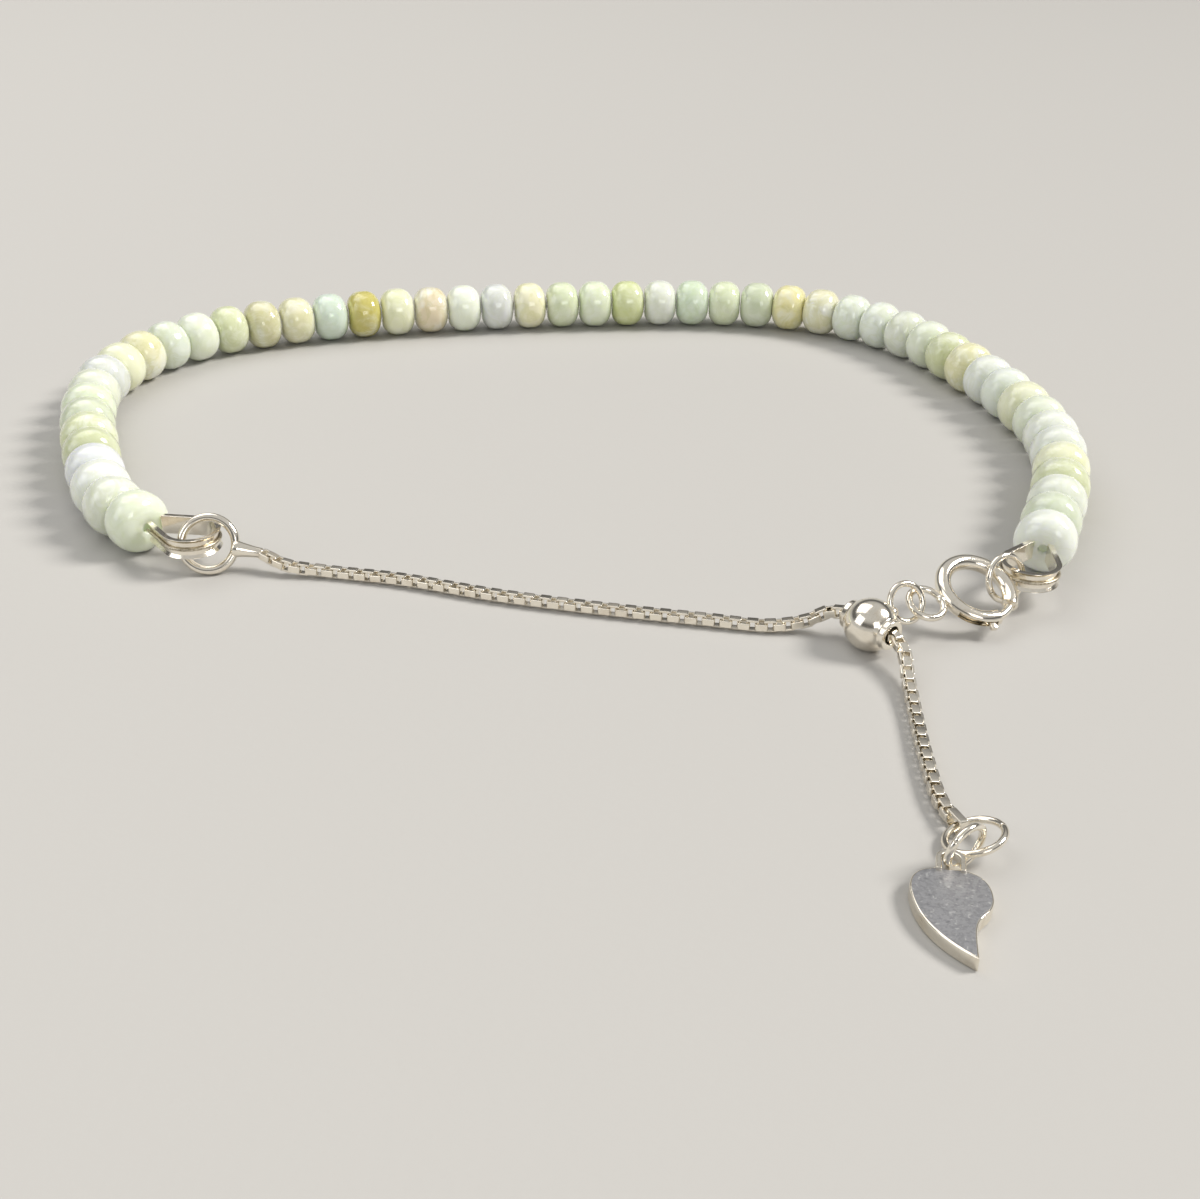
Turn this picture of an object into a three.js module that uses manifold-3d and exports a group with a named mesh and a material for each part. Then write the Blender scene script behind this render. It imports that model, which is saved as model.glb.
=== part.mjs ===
// Beaded bracelet: fifty polished stone beads on a thread, closed by a silver box chain that runs
// through a slider ball, a spring-ring clasp and two thread guards, with a leaf tag on the chain's end.
// Millimetres, +Z up. The bracelet lies on the plane z = 0, with the clasp and the chain towards -Y.
import * as THREE from 'three';
import Module from 'manifold-3d';
import { mergeVertices } from 'three/addons/utils/BufferGeometryUtils.js';

const wasm = await Module();
wasm.setup();

// --- Driving sizes --------------------------------------------------------------------------------

const BEAD = {
  count: 50,
  radius: 2.125,
  halfThickness: 1.5,
  faceRadius: 0.85, // the flat round each drilled end
  shoulderRadius: 1.8,
  shoulderHeight: 1.05, // from the bead's middle
  sides: 10,
};
const THREAD = { radius: 0.3, gap: 0.12 };
const BEAD_HEIGHT = BEAD.radius; // the beads' centres, which rest on the floor

const LINK = { pitch: 0.55, length: 0.82, height: 0.8, width: 0.45, strip: 0.15 };
const END_LINK = { length: 1.35, height: 1 }; // holds the tail ring
const LINK_PLAY = 0.07; // between the soldered first link and the next
const CHAIN_HEIGHT = LINK.height / 2 + 0.07;

const GUARD = {
  length: 5, // from the bead to the far end
  bendRadius: 1.7, // to the middle of the band
  legSpread: 0.55, // half the distance between the legs at the bead
  width: 1.3,
  innerFace: -0.13, // the band's faces, measured from its middle
  channelFloor: 0.07,
  rimTop: 0.27,
  rimWidth: 0.22,
  steps: 14,
};
const GUARD_GAP = 0.26; // from the bead's drilled end to the guard's legs

const WIRE_SIDES = 6;
const RING_STEPS = 16;
const END_RING = { radius: 1.75, wire: 0.3 };
const NECK = { heading: -12, reach: 3.55, thickRadius: 0.62, thinRadius: 0.34, sides: 8 };
const SLIDER = { radius: 1.65, bore: 0.6, collarRadius: 0.95, collarReach: 1.72, sides: 12 };
const SLIDER_RING = { radius: 1.18, wire: 0.2 };
const [TUBE_SIDES, BOLT_SIDES] = [10, 8];
const CLASP = {
  radius: 2.25, // to the middle of the tube
  tube: 0.5,
  bore: 0.34,
  bolt: 0.27,
  steps: 18,
  gapFrom: -88, // degrees round the ring, from the side that faces away from the small ring
  gapTo: -48,
  boltTravel: 40,
  boltHold: 24, // degrees of bolt that stay in the tube when it is shut
  tipClearance: 2.5, // degrees
  lever: { offset: 14, width: 0.34, length: 0.45, slotWidth: 0.46, reach: 0.85 },
};
const CLASP_RING = { radius: 1.13, wire: 0.225 };
const JUMP_RING = { radius: 1.45, wire: 0.21 };
const TAIL_RING = { radius: 1.5, wire: 0.2 };
const TAG_RING = { radius: 1.22, wire: 0.2 };
const TAG = {
  thickness: 0.8, turn: -9,
  eye: { outer: 0.72, inner: 0.45, reach: 0.6, sunk: 0.25, bottom: 0.52, top: 1 },
};

// --- Where things lie, seen from above ------------------------------------------------------------

// Points along the bead centres, from the left end round the back to the right end.
const STRING_ROUTE = [
  [-28.2, -5.5], [-30.3, -3.4], [-32.2, -0.3], [-35, 6.5], [-37.5, 14.5],
  [-38, 21], [-36, 27.5], [-31.5, 32.8],
  [-25, 36.4], [-17, 39.2], [-7, 41.5], [4, 43.2], [13, 43.9], [20.5, 43], [26.6, 40], [31, 35],
  [33.9, 28.8], [36.2, 22], [37.6, 15], [37.4, 9], [36, 3], [32.8, -5.6],
];

// Points along the chain with their heights: from the tapered end, through the slider, to the tag.
// Its first point is the end of the tapered neck.
const CHAIN_ROUTE = [
  [-17.6, -8.8, 0.75], [-15, -9, CHAIN_HEIGHT], [-10, -9.9, CHAIN_HEIGHT],
  [-3.5, -11.8, CHAIN_HEIGHT], [3, -13.2, CHAIN_HEIGHT], [9.5, -14.3, CHAIN_HEIGHT],
  [13.6, -14.9, CHAIN_HEIGHT], [15.8, -14.8, 0.8], [17.2, -14.7, 1.4], [18.4, -15.3, 1.65],
  [19.5, -16.6, 1.65], [20.6, -17.9, 1.65], [21.1, -19.2, 1.35], [21.1, -21.2, 0.75],
  [21, -24, CHAIN_HEIGHT], [20.8, -29, CHAIN_HEIGHT], [20.9, -33, CHAIN_HEIGHT],
  [21.6, -35.4, END_LINK.height / 2 + 0.06],
];
const SLIDER_CENTRE = new THREE.Vector3(19.5, -16.6, SLIDER.radius);
const SLIDER_AXIS = new THREE.Vector3(1.1, -1.3, 0).normalize();

const END_RING_CENTRE = new THREE.Vector3(-22.8, -8.1, 1.85);
const END_RING_NORMAL = new THREE.Vector3(0.1, -0.86, 0.5).normalize();
const LEFT_GUARD_HEADING = -28; // degrees from +X, from the bead outwards
const RIGHT_GUARD_HEADING = -116;

const SLIDER_RING_CENTRE = new THREE.Vector3(21.85, -15, 2.35);
const SLIDER_RING_NORMAL = new THREE.Vector3(0.38, -0.78, 0.49).normalize();
const CLASP_CENTRE = new THREE.Vector3(26.7, -12.7, 2.1);
const CLASP_HEADING = new THREE.Vector3(0.88, 0.475, 0).normalize(); // away from the small ring
const CLASP_TILT = 25; // degrees, its near side down
const JUMP_RING_CENTRE = new THREE.Vector3(28.85, -11.2, 2.2);
const JUMP_RING_NORMAL = new THREE.Vector3(0.5, -0.81, 0.31).normalize();

const TAIL_RING_CENTRE = new THREE.Vector3(21.9, -36.14, 0.83);
const TAIL_RING_NORMAL = new THREE.Vector3(-0.31, 0.12, 0.94).normalize();
const TAG_RING_CENTRE = new THREE.Vector3(21.02, -37.76, 1.43);
const TAG_RING_NORMAL = new THREE.Vector3(0.6, -0.79, -0.1).normalize();
const TAG_TOP = new THREE.Vector3(20.23, -38.65, 0);

// --- Materials ------------------------------------------------------------------------------------

const STONE = { color: 0xc9d3a8, roughness: 0.15, metalness: 0 };
const SILVER = { color: 0xd8d3c6, roughness: 0.18, metalness: 1 };

// --- Solids ---------------------------------------------------------------------------------------

const UP = new THREE.Vector3(0, 0, 1);
const radians = THREE.MathUtils.degToRad;

// A closed geometry as a solid that can be joined and cut.
function solidOf(geometry) {
  const bare = geometry.clone();
  bare.deleteAttribute('normal');
  bare.deleteAttribute('uv');
  const merged = mergeVertices(bare, 1e-4);
  const corners = [...merged.index.array];
  const kept = [];
  for (let i = 0; i < corners.length; i += 3) {
    const [a, b, c] = corners.slice(i, i + 3);
    if (a !== b && b !== c && c !== a) kept.push(a, b, c);
  }
  return new wasm.Manifold(new wasm.Mesh({
    numProp: 3,
    vertProperties: new Float32Array(merged.attributes.position.array),
    triVerts: new Uint32Array(kept),
  }));
}

function geometryOf(solid) {
  const { vertProperties, triVerts } = solid.getMesh();
  const geometry = new THREE.BufferGeometry();
  geometry.setAttribute('position', new THREE.BufferAttribute(new Float32Array(vertProperties), 3));
  geometry.setIndex(new THREE.BufferAttribute(new Uint32Array(triVerts), 1));
  geometry.computeVertexNormals();
  return geometry;
}

const joined = (geometries) => geometries.map(solidOf).reduce((all, one) => all.add(one));

// Turns a geometry's own axes to the given ones and sets it down at a centre.
function placed(geometry, centre, xAxis, yAxis, zAxis) {
  const matrix = new THREE.Matrix4().makeBasis(xAxis, yAxis, zAxis).setPosition(centre);
  return geometry.applyMatrix4(matrix);
}

// A pair of directions square to a third, the first of them level.
function levelAxes(normal) {
  const across = new THREE.Vector3().crossVectors(UP, normal).normalize();
  return [across, new THREE.Vector3().crossVectors(normal, across)];
}

function polygon(radius, sides) {
  const shape = new THREE.Shape();
  for (let i = 0; i < sides; i += 1) {
    const angle = (i / sides) * Math.PI * 2;
    shape[i ? 'lineTo' : 'moveTo'](radius * Math.cos(angle), radius * Math.sin(angle));
  }
  return shape;
}

// A tube with closed ends along a curve.
function tube(curve, radius, sides, steps) {
  return new THREE.ExtrudeGeometry(polygon(radius, sides), {
    extrudePath: curve, steps, curveSegments: 1, bevelEnabled: false,
  });
}

function wireRing({ radius, wire }, centre, normal) {
  const ring = new THREE.TorusGeometry(radius, wire, WIRE_SIDES, RING_STEPS);
  return placed(ring, centre, ...levelAxes(normal), normal);
}

// A curve along part of a circle in its own XY plane, in degrees.
class CircleArc extends THREE.Curve {
  constructor(radius, from, to) {
    super();
    Object.assign(this, { radius, from, to });
  }

  getPoint(t, target = new THREE.Vector3()) {
    const angle = radians(this.from + (this.to - this.from) * t);
    return target.set(this.radius * Math.cos(angle), this.radius * Math.sin(angle), 0);
  }
}

// --- Beads and thread -----------------------------------------------------------------------------

const stringCurve = new THREE.CatmullRomCurve3(
  STRING_ROUTE.map(([x, y]) => new THREE.Vector3(x, y, BEAD_HEIGHT)), false, 'centripetal');
stringCurve.arcLengthDivisions = 1000;

// One closed skin over rings of points: neighbouring rings are joined and both ends are capped.
function skin(rings) {
  const sides = rings[0].length;
  const points = [...rings.flat(), centreOf(rings[0]), centreOf(rings.at(-1))];
  const [firstCap, lastCap] = [points.length - 2, points.length - 1];
  const index = [];
  for (let i = 0; i < sides; i += 1) {
    const next = (i + 1) % sides;
    for (let row = 0; row < rings.length - 1; row += 1) {
      const [a, b] = [row * sides + i, row * sides + next];
      index.push(a, b, b + sides, a, b + sides, a + sides);
    }
    const top = (rings.length - 1) * sides;
    index.push(firstCap, next, i, lastCap, top + i, top + next);
  }
  return new THREE.BufferGeometry().setFromPoints(points).setIndex(index);
}

const centreOf = (ring) => ring
  .reduce((sum, point) => sum.add(point), new THREE.Vector3()).divideScalar(ring.length);

// A ring of points square to a bead's axis, at a distance from the bead's centre.
function beadRing(k, [height, radius]) {
  const t = k / (BEAD.count - 1);
  const centre = stringCurve.getPointAt(t);
  const along = stringCurve.getTangentAt(t);
  const across = new THREE.Vector3().crossVectors(UP, along);
  return Array.from({ length: BEAD.sides }, (_, i) => {
    const angle = (i / BEAD.sides) * Math.PI * 2;
    return centre.clone().addScaledVector(along, height)
      .addScaledVector(UP, radius * Math.cos(angle)).addScaledVector(across, -radius * Math.sin(angle));
  });
}

// The beads share the string's length evenly, about 3.12 from one centre to the next, and the thread
// shows for a moment between each two. A bead is round in section, with flat drilled ends.
function beadString() {
  const { halfThickness, shoulderHeight, faceRadius, shoulderRadius, radius } = BEAD;
  const profile = [
    [-halfThickness, faceRadius], [-shoulderHeight, shoulderRadius], [0, radius],
    [shoulderHeight, shoulderRadius], [halfThickness, faceRadius],
  ];
  const rings = [];
  for (let k = 0; k < BEAD.count; k += 1) {
    rings.push(...profile.map((row) => beadRing(k, row)));
    const threadHeight = halfThickness + THREAD.gap / 2;
    if (k < BEAD.count - 1) rings.push(beadRing(k, [threadHeight, THREAD.radius]));
  }
  return skin(rings);
}

// --- Chain ----------------------------------------------------------------------------------------

const [endRingAcross, endRingRise] = levelAxes(END_RING_NORMAL);
const neckAxis = endRingAcross.clone().multiplyScalar(Math.cos(radians(NECK.heading)))
  .addScaledVector(endRingRise, Math.sin(radians(NECK.heading)));
const neckTip = END_RING_CENTRE.clone().addScaledVector(neckAxis, NECK.reach - LINK.strip);

const chainCurve = new THREE.CatmullRomCurve3(
  [neckTip, ...CHAIN_ROUTE.map((p) => new THREE.Vector3(...p))], false, 'centripetal');
chainCurve.arcLengthDivisions = 1000;
const chainLength = chainCurve.getLength();
const lastLink = Math.floor((chainLength - END_LINK.length) / LINK.pitch);

// A square link lies along its own X, open along its own Z.
function link({ length, height }) {
  const [x, y] = [length / 2, height / 2];
  const [hx, hy] = [x - LINK.strip, y - LINK.strip];
  const shape = new THREE.Shape();
  shape.moveTo(-x, -y).lineTo(x, -y).lineTo(x, y).lineTo(-x, y).closePath();
  const hole = new THREE.Path();
  hole.moveTo(-hx, -hy).lineTo(-hx, hy).lineTo(hx, hy).lineTo(hx, -hy).closePath();
  shape.holes.push(hole);
  const geometry = new THREE.ExtrudeGeometry(shape, { depth: LINK.width, bevelEnabled: false });
  return geometry.translate(0, 0, -LINK.width / 2);
}

// Link k in its place on the chain. Every second link stands, open to both sides. Each one hooks the
// next, and the long last link also holds the tail ring.
function chainLink(k) {
  const size = k === lastLink ? END_LINK : LINK;
  const play = k === 0 ? LINK_PLAY : 0;
  const t = (k * LINK.pitch + size.length / 2 + play) / chainLength;
  const along = chainCurve.getTangentAt(t);
  const across = new THREE.Vector3().crossVectors(UP, along).normalize();
  const rise = new THREE.Vector3().crossVectors(along, across);
  const standing = (lastLink - k) % 2 === 0;
  const axes = standing ? [along, rise, across.negate()] : [along, across, rise];
  return placed(link(size), chainCurve.getPointAt(t), ...axes);
}

function boxChain() {
  const links = Array.from({ length: lastLink }, (_, k) => chainLink(k + 1));
  return geometryOf(joined(links));
}

// --- Thread guards --------------------------------------------------------------------------------

// A guard's band, from one leg round the bend to the other, in its own XY plane. The legs start at
// x = 0 and run straight until they meet the bend.
class GuardBand extends THREE.Curve {
  constructor() {
    super();
    const { length, bendRadius, legSpread, rimTop } = GUARD;
    this.centre = length - rimTop - bendRadius;
    const toLeg = Math.hypot(this.centre, legSpread);
    this.turn = Math.atan2(legSpread, -this.centre) - Math.acos(bendRadius / toLeg);
    this.bend = bendRadius * this.turn;
    this.half = this.bend + Math.sqrt(toLeg ** 2 - bendRadius ** 2);
  }

  getPoint(t, target = new THREE.Vector3()) {
    const walked = (1 - 2 * t) * this.half; // from the far end of the bend, to either side
    const onBend = Math.min(Math.abs(walked), this.bend);
    const angle = onBend / GUARD.bendRadius;
    const onLeg = Math.abs(walked) - onBend;
    const x = this.centre + GUARD.bendRadius * Math.cos(angle) - onLeg * Math.sin(angle);
    const y = GUARD.bendRadius * Math.sin(angle) + onLeg * Math.cos(angle);
    return target.set(x, Math.sign(walked) * y, 0);
  }
}

function threadGuard(beadCentre, heading) {
  const { width, innerFace, channelFloor, rimTop, rimWidth, steps } = GUARD;
  const [edge, lip] = [width / 2, width / 2 - rimWidth];
  const section = new THREE.Shape([
    [-edge, innerFace], [edge, innerFace], [edge, rimTop], [lip, rimTop],
    [lip, channelFloor], [-lip, channelFloor], [-lip, rimTop], [-edge, rimTop],
  ].map(([x, y]) => new THREE.Vector2(x, y)));
  const band = new THREE.ExtrudeGeometry(section, {
    extrudePath: new GuardBand(), steps, bevelEnabled: false,
  });
  const out = new THREE.Vector3(Math.cos(radians(heading)), Math.sin(radians(heading)), 0);
  const start = beadCentre.clone().addScaledVector(out, BEAD.halfThickness + GUARD_GAP);
  return placed(band, start, out, new THREE.Vector3().crossVectors(UP, out), UP);
}

// --- Chain ends, slider and rings -----------------------------------------------------------------

// A round ring drawn out into a tapered neck, with the chain's first link soldered to its tip.
function chainEndRing() {
  const { reach, thickRadius, thinRadius, sides } = NECK;
  const root = END_RING.radius - END_RING.wire * 0.7;
  const profile = [
    [0, root], [thickRadius * 0.7, root], [thickRadius, root + END_RING.wire],
    [thinRadius, reach], [0, reach],
  ].map(([x, y]) => new THREE.Vector2(x, y));
  const across = new THREE.Vector3().crossVectors(neckAxis, END_RING_NORMAL);
  const neck = placed(
    new THREE.LatheGeometry(profile, sides), END_RING_CENTRE, across, neckAxis, END_RING_NORMAL);
  const ring = wireRing(END_RING, END_RING_CENTRE, END_RING_NORMAL);
  return geometryOf(joined([ring, neck, chainLink(0)]));
}

// The ball that the chain slides through, with the ring soldered to its side.
function sliderBall() {
  const across = new THREE.Vector3().crossVectors(SLIDER_AXIS, UP);
  const axes = [across, SLIDER_AXIS, UP];
  const { radius, bore, collarRadius, collarReach, sides } = SLIDER;
  const ball = placed(new THREE.SphereGeometry(radius, sides, sides - 4), SLIDER_CENTRE, ...axes);
  const collar = (r, reach) => placed(
    new THREE.CylinderGeometry(r, r, reach * 2, sides), SLIDER_CENTRE, ...axes);
  const ring = wireRing(SLIDER_RING, SLIDER_RING_CENTRE, SLIDER_RING_NORMAL);
  const whole = joined([ball, collar(collarRadius, collarReach), ring]);
  return geometryOf(whole.subtract(solidOf(collar(bore, collarReach + 1))));
}

// --- Spring-ring clasp ----------------------------------------------------------------------------

// Places the clasp's own axes: X away from the small ring, Z square to the ring, tilted towards -Y.
function inClasp(geometry) {
  const down = new THREE.Vector3().crossVectors(CLASP_HEADING, UP);
  const normal = UP.clone().multiplyScalar(Math.cos(radians(CLASP_TILT)))
    .addScaledVector(down, Math.sin(radians(CLASP_TILT)));
  const far = new THREE.Vector3().crossVectors(normal, CLASP_HEADING);
  return placed(geometry, CLASP_CENTRE, CLASP_HEADING, far, normal);
}

const claspArc = (from, to) => new CircleArc(CLASP.radius, from, to);

function claspBody() {
  const { tube: tubeRadius, bore, gapFrom, gapTo, boltTravel, boltHold, lever, steps } = CLASP;
  const body = tube(claspArc(gapTo, gapFrom + 360), tubeRadius, TUBE_SIDES, steps);
  const boreEnd = gapFrom - boltHold - boltTravel - 6;
  const hollow = tube(claspArc(gapFrom + 4, boreEnd), bore, BOLT_SIDES, 9);
  const slotShape = new THREE.Shape([
    [-lever.slotWidth / 2, 0], [lever.slotWidth / 2, 0],
    [lever.slotWidth / 2, tubeRadius * 1.5], [-lever.slotWidth / 2, tubeRadius * 1.5],
  ].map(([x, y]) => new THREE.Vector2(x, y)));
  const leverAngle = gapFrom - lever.offset;
  const slot = new THREE.ExtrudeGeometry(slotShape, {
    extrudePath: claspArc(leverAngle + 8, leverAngle - boltTravel - 8), steps: 6, bevelEnabled: false,
  });
  const ring = new THREE.TorusGeometry(CLASP_RING.radius, CLASP_RING.wire, WIRE_SIDES, RING_STEPS);
  const solder = 0.12; // how far the small ring is sunk into the tube
  ring.translate(solder - CLASP.radius - tubeRadius - CLASP_RING.radius - CLASP_RING.wire, 0, 0);
  const whole = joined([body, ring].map(inClasp));
  return geometryOf(whole.subtract(joined([hollow, slot].map(inClasp))));
}

function claspBolt() {
  const { bolt, gapFrom, gapTo, boltHold, tipClearance, lever, radius } = CLASP;
  const pin = tube(claspArc(gapTo - tipClearance, gapFrom - boltHold), bolt, BOLT_SIDES, 8);
  const nub = new THREE.BoxGeometry(lever.reach, lever.length, lever.width);
  nub.translate(radius + lever.reach / 2, 0, 0).rotateZ(radians(gapFrom - lever.offset));
  return geometryOf(joined([pin, nub].map(inClasp)));
}

// --- Leaf tag -------------------------------------------------------------------------------------

// The tag lies flat. Its own origin is the middle of its top edge, its tip points towards -Y. A small
// eye is soldered on that edge, high enough for the ring to pass under it.
function leafTag() {
  const leaf = new THREE.Shape();
  leaf.moveTo(-0.5, 0);
  leaf.bezierCurveTo(-1.9, 0, -2.1, -1.2, -1.95, -2);
  leaf.bezierCurveTo(-1.7, -3.9, -0.6, -5.2, 1.05, -6.2);
  leaf.bezierCurveTo(1.1, -5.4, 0.9, -4.3, 1.25, -3.5);
  leaf.bezierCurveTo(1.6, -2.9, 2, -2.6, 1.95, -1.7);
  leaf.bezierCurveTo(1.9, -0.7, 1.4, 0, 0.5, 0);
  leaf.closePath();
  const plate = new THREE.ExtrudeGeometry(leaf, {
    depth: TAG.thickness, curveSegments: 5, bevelEnabled: false,
  });
  const { outer, inner, reach, sunk, bottom, top } = TAG.eye;
  const eye = new THREE.Shape();
  eye.moveTo(outer, -sunk);
  eye.lineTo(outer, reach);
  eye.absarc(0, reach, outer, 0, Math.PI, false);
  eye.lineTo(-outer, -sunk);
  eye.lineTo(-inner, -sunk);
  eye.lineTo(-inner, reach);
  eye.absarc(0, reach, inner, Math.PI, 0, true);
  eye.lineTo(inner, -sunk);
  eye.closePath();
  const loop = new THREE.ExtrudeGeometry(eye, {
    depth: top - bottom, curveSegments: 4, bevelEnabled: false,
  }).translate(0, 0, bottom);
  const shapes = [plate, loop].map((shape) => (
    shape.rotateZ(radians(TAG.turn)).translate(TAG_TOP.x, TAG_TOP.y, 0)
  ));
  return geometryOf(joined(shapes));
}

// --- The bracelet ---------------------------------------------------------------------------------

const bracelet = new THREE.Group();

function add(name, geometry, look) {
  const mesh = new THREE.Mesh(geometry, new THREE.MeshStandardMaterial(look));
  mesh.name = name;
  bracelet.add(mesh);
}

add('bead_string', beadString(), STONE);
add('left_thread_guard', threadGuard(stringCurve.getPointAt(0), LEFT_GUARD_HEADING), SILVER);
add('right_thread_guard', threadGuard(stringCurve.getPointAt(1), RIGHT_GUARD_HEADING), SILVER);
add('chain_end_ring', chainEndRing(), SILVER);
add('box_chain', boxChain(), SILVER);
add('slider_ball', sliderBall(), SILVER);
add('clasp_body', claspBody(), SILVER);
add('clasp_bolt', claspBolt(), SILVER);
add('jump_ring', wireRing(JUMP_RING, JUMP_RING_CENTRE, JUMP_RING_NORMAL), SILVER);
add('tail_ring', wireRing(TAIL_RING, TAIL_RING_CENTRE, TAIL_RING_NORMAL), SILVER);
add('tag_ring', wireRing(TAG_RING, TAG_RING_CENTRE, TAG_RING_NORMAL), SILVER);
add('leaf_tag', leafTag(), SILVER);

// The origin is the middle of the footprint, on the floor.
const box = new THREE.Box3().setFromObject(bracelet);
const middle = box.getCenter(new THREE.Vector3());
bracelet.position.set(-middle.x, -middle.y, -box.min.z);

export default bracelet;
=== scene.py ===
"""A beaded bracelet with a silver box chain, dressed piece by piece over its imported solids.

Sizes are in millimetres, from the same zero as the layout that the solids were drawn in. A piece is
modelled in millimetres and set down in metres, in the frame whose zero is the footprint's middle.
"""
from __future__ import annotations

import logging
import math
import random
from bisect import bisect_right
from contextlib import contextmanager
from dataclasses import dataclass, field
from enum import Enum
from typing import Any, Callable, Iterator, Sequence

import bmesh
import bpy
from mathutils import Matrix, Vector

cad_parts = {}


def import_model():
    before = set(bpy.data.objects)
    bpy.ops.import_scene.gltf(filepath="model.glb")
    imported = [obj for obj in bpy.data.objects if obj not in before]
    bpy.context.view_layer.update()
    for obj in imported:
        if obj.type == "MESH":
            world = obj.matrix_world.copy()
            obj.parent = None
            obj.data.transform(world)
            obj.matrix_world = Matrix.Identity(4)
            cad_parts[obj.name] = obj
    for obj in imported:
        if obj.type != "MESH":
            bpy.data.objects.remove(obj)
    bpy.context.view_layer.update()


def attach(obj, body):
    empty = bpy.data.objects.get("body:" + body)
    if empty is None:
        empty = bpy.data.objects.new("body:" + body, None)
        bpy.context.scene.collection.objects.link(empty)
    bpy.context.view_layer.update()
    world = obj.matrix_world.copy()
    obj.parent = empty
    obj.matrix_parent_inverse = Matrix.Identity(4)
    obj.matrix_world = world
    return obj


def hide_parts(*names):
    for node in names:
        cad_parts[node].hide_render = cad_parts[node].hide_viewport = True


log = logging.getLogger("bracelet")

Thing = bpy.types.Object
Material = bpy.types.Material
Point = Sequence[float]
Tone = tuple[float, float, float, float]

UP = Vector((0, 0, 1))
METRES = 0.001
SHIFT = Vector((0.1956, -0.4819, 0.0018))  # from the layout's zero to the footprint's middle
FLAT = 0.99  # a face whose normal has this much of a direction lies square to it


# --- Directions and curves ---


def basis(x_axis: Vector, y_axis: Vector, z_axis: Vector, centre: Point = (0, 0, 0)) -> Matrix:
    """Gives the matrix that turns a piece's own axes to three directions and moves it.

    Args:
        x_axis: where the piece's own X goes.
        y_axis: where its Y goes.
        z_axis: where its Z goes.
        centre: where its zero goes.

    Returns:
        The four by four matrix.
    """
    matrix = Matrix((x_axis, y_axis, z_axis)).transposed().to_4x4()
    matrix.translation = Vector(centre)
    return matrix


def towards(degrees: float) -> Vector:
    """Gives the level direction at an angle from +X."""
    angle = math.radians(degrees)
    return Vector((math.cos(angle), math.sin(angle), 0))


def level_axes(normal: Vector) -> tuple[Vector, Vector]:
    """Gives two directions square to a normal, the first of them level."""
    across = UP.cross(normal).normalized()
    return across, normal.cross(across)


def facing(centre: Point, normal: Point) -> Matrix:
    """Gives the matrix that lays a flat ring's plane square to a normal, round a centre."""
    unit = Vector(normal).normalized()
    return basis(*level_axes(unit), unit, centre)


def turned(degrees: float, axis: str) -> Matrix:
    """Gives the matrix that turns a piece round one of its own axes."""
    return Matrix.Rotation(math.radians(degrees), 4, axis)


class Route:
    """A smooth curve through points, walked by its length."""

    samples_between = 60

    def __init__(self, points: Sequence[Point]) -> None:
        """Samples the curve.

        Args:
            points: what it passes through, in order.
        """
        knots = [Vector(p) for p in points]
        knots = [knots[0] * 2 - knots[1], *knots, knots[-1] * 2 - knots[-2]]
        self.samples = [knots[1]]
        shares = [k / self.samples_between for k in range(1, self.samples_between + 1)]
        for p0, p1, p2, p3 in zip(knots, knots[1:], knots[2:], knots[3:]):
            d0, d1, d2 = (math.sqrt(gap.length) for gap in (p1 - p0, p2 - p1, p3 - p2))
            t1 = ((p1 - p0) / d0 - (p2 - p0) / (d0 + d1) + (p2 - p1) / d1) * d1
            t2 = ((p2 - p1) / d1 - (p3 - p1) / (d1 + d2) + (p3 - p2) / d2) * d1
            c2 = -3 * p1 + 3 * p2 - 2 * t1 - t2
            c3 = 2 * p1 - 2 * p2 + t1 + t2
            self.samples += [p1 + t1 * t + c2 * t * t + c3 * t ** 3 for t in shares]
        self.walked = [0.0]
        for a, b in zip(self.samples, self.samples[1:]):
            self.walked.append(self.walked[-1] + (b - a).length)

    @property
    def length(self) -> float:
        """The curve's whole length."""
        return self.walked[-1]

    def at(self, distance: float) -> tuple[Vector, Vector]:
        """Finds a place on the curve.

        Args:
            distance: how far along it is, in millimetres.

        Returns:
            The point, and the unit direction of travel there.
        """
        last = len(self.samples) - 1
        low = min(bisect_right(self.walked, distance), last) - 1
        a, b = self.samples[low], self.samples[low + 1]
        share = (distance - self.walked[low]) / (self.walked[low + 1] - self.walked[low])
        before, after = self.samples[max(low - 1, 0)], self.samples[min(low + 2, last)]
        return a.lerp(b, share), (after - before).normalized()


# --- Modelling steps ---


class Part(Enum):
    """What is picked in edit mode."""

    VERTS = "VERT"
    EDGES = "EDGE"
    FACES = "FACE"


def select(*things: Thing) -> None:
    """Leaves edit mode and selects objects alone, the first one active.

    Args:
        things: the objects; none leaves nothing selected.
    """
    if bpy.context.mode != "OBJECT":
        bpy.ops.object.mode_set(mode="OBJECT")
    bpy.ops.object.select_all(action="DESELECT")
    for thing in things:
        thing.select_set(True)
    if things:
        bpy.context.view_layer.objects.active = things[0]


def begin(add: Callable[..., Any], stretch: Point = (1, 1, 1), **sizes: Any) -> Thing:
    """Adds a primitive alone, with its whole place in its mesh.

    Args:
        add: the operator that adds it.
        stretch: how far each of its own axes is stretched.
        sizes: what the operator is given.

    Returns:
        The new object.
    """
    select()
    add(**sizes)
    thing = bpy.context.active_object
    thing.scale = stretch
    return settle(thing)


def upright_face(
    kind: str, at: Vector, degrees: float = 0, stretch: Point = (1, 1, 1), **sizes: Any,
) -> Thing:
    """Stands one flat face upright, ready to be swept.

    Args:
        kind: "plane", one millimetre square, or "circle".
        at: its middle.
        degrees: which way its own X points, from +X.
        stretch: how far each of its own axes is stretched.
        sizes: what else the operator is given.

    Returns:
        The face.
    """
    sizes |= {"size": 1} if kind == "plane" else {"fill_type": "NGON"}
    return begin(
        getattr(bpy.ops.mesh, f"primitive_{kind}_add"), stretch, location=at,
        rotation=(math.pi / 2, 0, math.radians(degrees)), **sizes)


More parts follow.
